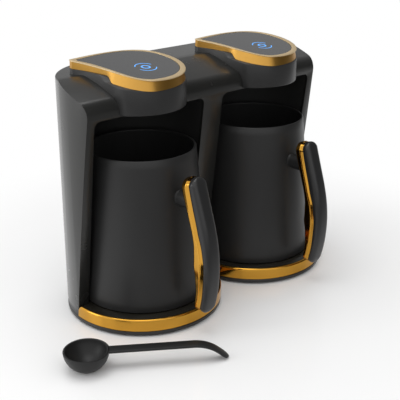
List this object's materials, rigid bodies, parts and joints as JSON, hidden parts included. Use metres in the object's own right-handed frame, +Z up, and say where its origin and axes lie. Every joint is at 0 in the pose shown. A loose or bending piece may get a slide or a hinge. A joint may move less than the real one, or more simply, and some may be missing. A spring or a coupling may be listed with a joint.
{
  "type": "electric turkish coffee maker",
  "caption": "Twin Turkish coffee maker: satin black housing, tapered lift-out pots with gold bow handles, drop-shaped touch heads, gold base rings and a measuring scoop.",
  "frame": {"origin": "on the resting plane, midway between the two station axes, on the underside of the centre foot", "axes": "+Z up, the front faces -Y, +X to the right along the two stations"},
  "size_m": [0.3129, 0.1867, 0.2071],
  "materials": {
    "satin_black": "satin black moulded plastic",
    "textured_black": "finely textured black plastic",
    "screw_steel": "zinc-plated steel",
    "soft_black": "black rubber strain relief",
    "tray_black": "black moulded plastic",
    "rubber_black": "soft black rubber",
    "board_green": "green circuit board with copper tracks",
    "part_grey": "transformer, relays and capacitors",
    "scoop_black": "matt black moulded plastic",
    "gold_ring": "mirror gold plating",
    "deck_black": "black moulded plastic",
    "hotplate_metal": "black coated cast aluminium",
    "heater_metal": "heat-tinted steel tube",
    "thermostat_metal": "plain metal can",
    "liner_black": "matt black heat-proof plastic",
    "head_black": "satin black moulded plastic",
    "gold_trim": "gold plating, brushed on the band",
    "panel_glass": "dark grey glossy touch panel with a blue lit mark",
    "frame_black": "black moulded plastic",
    "guide_clear": "frosted clear plastic",
    "sensor_lens": "dark red infrared window",
    "pot_black": "aluminium with matt black coating",
    "pot_steel": "turned steel disc",
    "bracket_black": "black heat-proof plastic",
    "gold_handle": "mirror gold plating",
    "pad_black": "satin black moulded plastic"
  },
  "bodies": {
    "machine": {"housing_shell": "satin_black", "rear_cover": "textured_black", "rear_cover_screws": "screw_steel", "cord_gland": "soft_black", "base_tray": "tray_black", "rubber_feet": "rubber_black", "base_screws": "screw_steel", "power_board": "board_green", "power_parts": "part_grey", "base_ring_left": "gold_ring", "base_ring_right": "gold_ring", "base_deck_left": "deck_black", "base_deck_right": "deck_black", "hotplate_left": "hotplate_metal", "hotplate_right": "hotplate_metal", "heating_element_left": "heater_metal", "heating_element_right": "heater_metal", "thermostat_left": "thermostat_metal", "thermostat_right": "thermostat_metal", "alcove_liner_left": "liner_black", "alcove_liner_right": "liner_black", "head_body_left": "head_black", "head_body_right": "head_black", "head_trim_left": "gold_trim", "head_trim_right": "gold_trim", "touch_panel_left": "panel_glass", "touch_panel_right": "panel_glass", "panel_frame_left": "frame_black", "panel_frame_right": "frame_black", "control_board_left": "board_green", "control_board_right": "board_green", "light_guide_left": "guide_clear", "light_guide_right": "guide_clear", "boil_sensor_left": "sensor_lens", "boil_sensor_right": "sensor_lens"},
    "pot_left": {"pot_body_left": "pot_black", "pot_base_left": "pot_steel", "handle_bracket_left": "bracket_black", "handle_frame_left": "gold_handle", "grip_pad_left": "pad_black", "handle_screw_left": "screw_steel"},
    "pot_right": {"pot_body_right": "pot_black", "pot_base_right": "pot_steel", "handle_bracket_right": "bracket_black", "handle_frame_right": "gold_handle", "grip_pad_right": "pad_black", "handle_screw_right": "screw_steel"},
    "scoop": {"scoop": "scoop_black"}
  },
  "joints": [
    {"name": "pot_left_lift_out", "type": "slide", "parent": "machine", "child": "pot_left", "axis": [0, -0.9903, 0.1392], "range_m": [0, 0.15]},
    {"name": "pot_right_lift_out", "type": "slide", "parent": "machine", "child": "pot_right", "axis": [0, -0.9903, 0.1392], "range_m": [0, 0.15]},
    {"name": "scoop_pick_up", "type": "slide", "parent": "machine", "child": "scoop", "axis": [-0.8, 0, 0.6], "range_m": [0, 0.1]}
  ]
}
